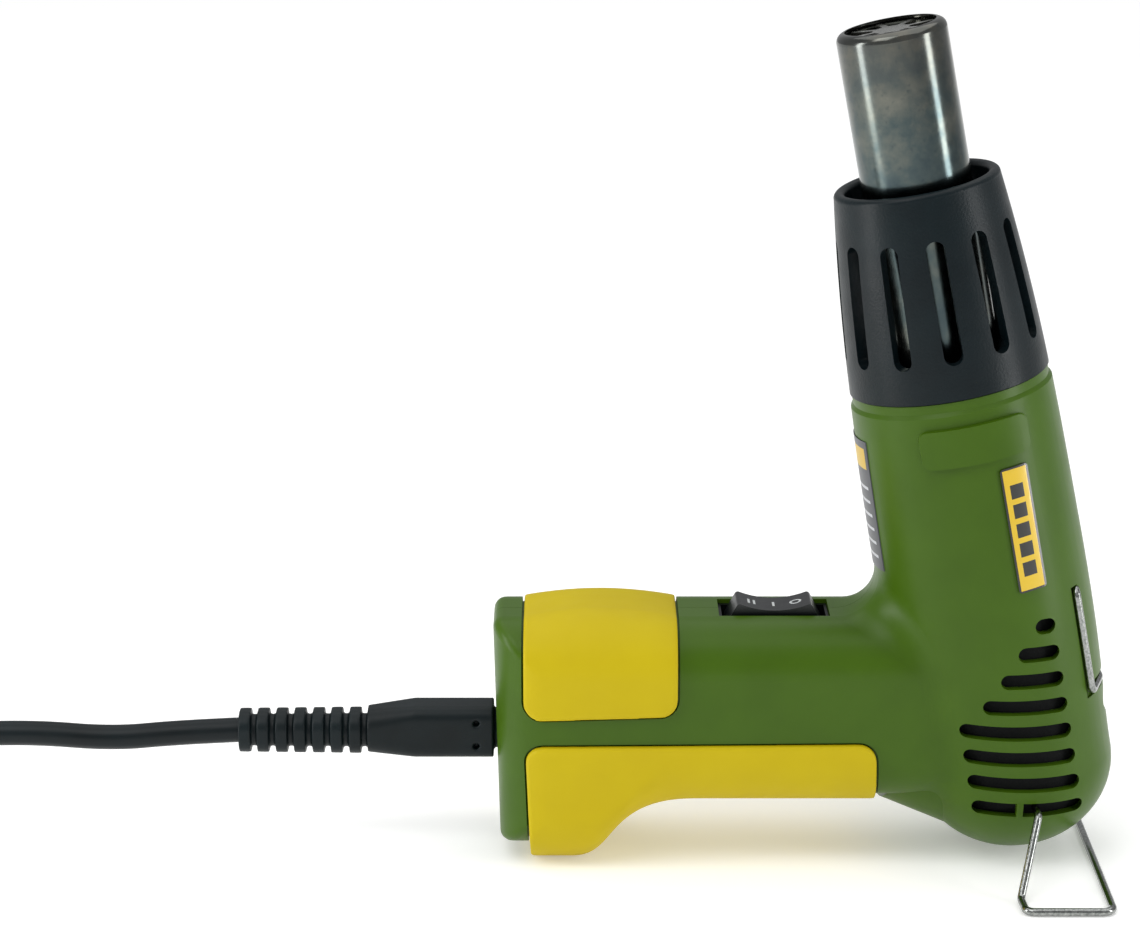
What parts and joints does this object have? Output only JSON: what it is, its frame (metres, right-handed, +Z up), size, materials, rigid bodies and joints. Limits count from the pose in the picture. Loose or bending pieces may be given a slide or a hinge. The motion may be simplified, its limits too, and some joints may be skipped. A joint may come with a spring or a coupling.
{
  "type": "heat gun",
  "caption": "Compact hot air gun standing nozzle up on its handle and a folding wire stand, with a slotted heat shield, steel nozzle, rocker switch, hanging bail and mains cord.",
  "frame": {"origin": "under the middle of the tool, on the surface that the handle's foot and the wire stand rest on", "axes": "+Z up, towards the nozzle; +X from the handle to the barrel; Y across the tool, which is symmetric about Y = 0"},
  "size_m": [0.4705, 0.1105, 0.2148],
  "materials": {
    "housing_green": "satin glass-filled polyamide",
    "grip_yellow": "soft matt elastomer",
    "shield_black": "satin textured polyamide",
    "nozzle_steel": "polished stainless steel",
    "spider_steel": "stamped steel, heat darkened",
    "mica": "mica paper",
    "ceramic": "unglazed steatite",
    "heating_wire": "resistance wire",
    "duct_plastic": "moulded phenolic",
    "fan_plastic": "moulded plastic",
    "steel": "zinc plated steel",
    "armature_iron": "laminated iron",
    "copper": "copper",
    "magnet": "ferrite",
    "board_green": "circuit board",
    "black_plastic": "moulded plastic",
    "rocker_black": "smooth plastic",
    "relief_black": "fine textured soft PVC",
    "cord_black": "smooth rubber sheath",
    "capacitor_yellow": "moulded plastic",
    "lead_brown": "silicone insulation",
    "label_grey": "printed foil",
    "badge_yellow": "printed foil",
    "wire_steel": "bright steel wire",
    "brass": "nickel plated brass"
  },
  "bodies": {
    "gun": {"housing_left": "housing_green", "housing_right": "housing_green", "housing_screws": "steel", "grip_pad_upper": "grip_yellow", "grip_pad_lower": "grip_yellow", "badge_left": "badge_yellow", "badge_right": "badge_yellow", "rating_label": "label_grey", "heat_shield": "shield_black", "nozzle_tube": "nozzle_steel", "nozzle_spider": "spider_steel", "mica_sleeve": "mica", "heater_core": "ceramic", "heater_coil": "heating_wire", "heater_spacers": "ceramic", "thermal_cutout": "black_plastic", "air_duct": "duct_plastic", "nozzle_screws": "steel", "motor_can": "steel", "motor_end_cap": "black_plastic", "motor_magnets": "magnet", "motor_mount": "duct_plastic", "rectifier_board": "board_green", "rectifier_diodes": "black_plastic", "motor_tabs": "brass", "switch_body": "black_plastic", "switch_terminals": "brass", "capacitor": "capacitor_yellow", "strain_relief": "relief_black", "inner_sheath": "cord_black", "cord_clamp_base": "black_plastic", "cord_clamp": "black_plastic", "clamp_screws": "steel", "supply_leads": "lead_brown", "motor_leads": "lead_brown", "cord": "cord_black", "cord_coil": "cord_black", "plug_body": "relief_black", "plug_pins": "brass"},
    "fan": {"fan_impeller": "fan_plastic", "motor_shaft": "steel", "armature": "armature_iron", "commutator": "copper"},
    "rocker": {"rocker": "rocker_black"},
    "stand": {"stand_wire": "wire_steel"},
    "bail": {"hanging_bail": "wire_steel"}
  },
  "joints": [
    {"name": "rocker_tilt", "type": "hinge", "parent": "gun", "child": "rocker", "pos_m": [-0.0082, 0, 0.0575], "axis": [0, 1, 0], "range_deg": [-10, 10]},
    {"name": "fan_spin", "type": "hinge", "parent": "gun", "child": "fan", "pos_m": [0.04609, 0, 0.0658], "axis": [-0.1908, 0, 0.9816], "continuous": true},
    {"name": "stand_fold", "type": "hinge", "parent": "gun", "child": "stand", "pos_m": [0.0574, 0, 0.0183], "axis": [0, -1, 0], "range_deg": [0, 52]},
    {"name": "bail_swing", "type": "hinge", "parent": "gun", "child": "bail", "pos_m": [0.06614, 0, 0.07377], "axis": [0, -1, 0], "range_deg": [0, 100]}
  ]
}
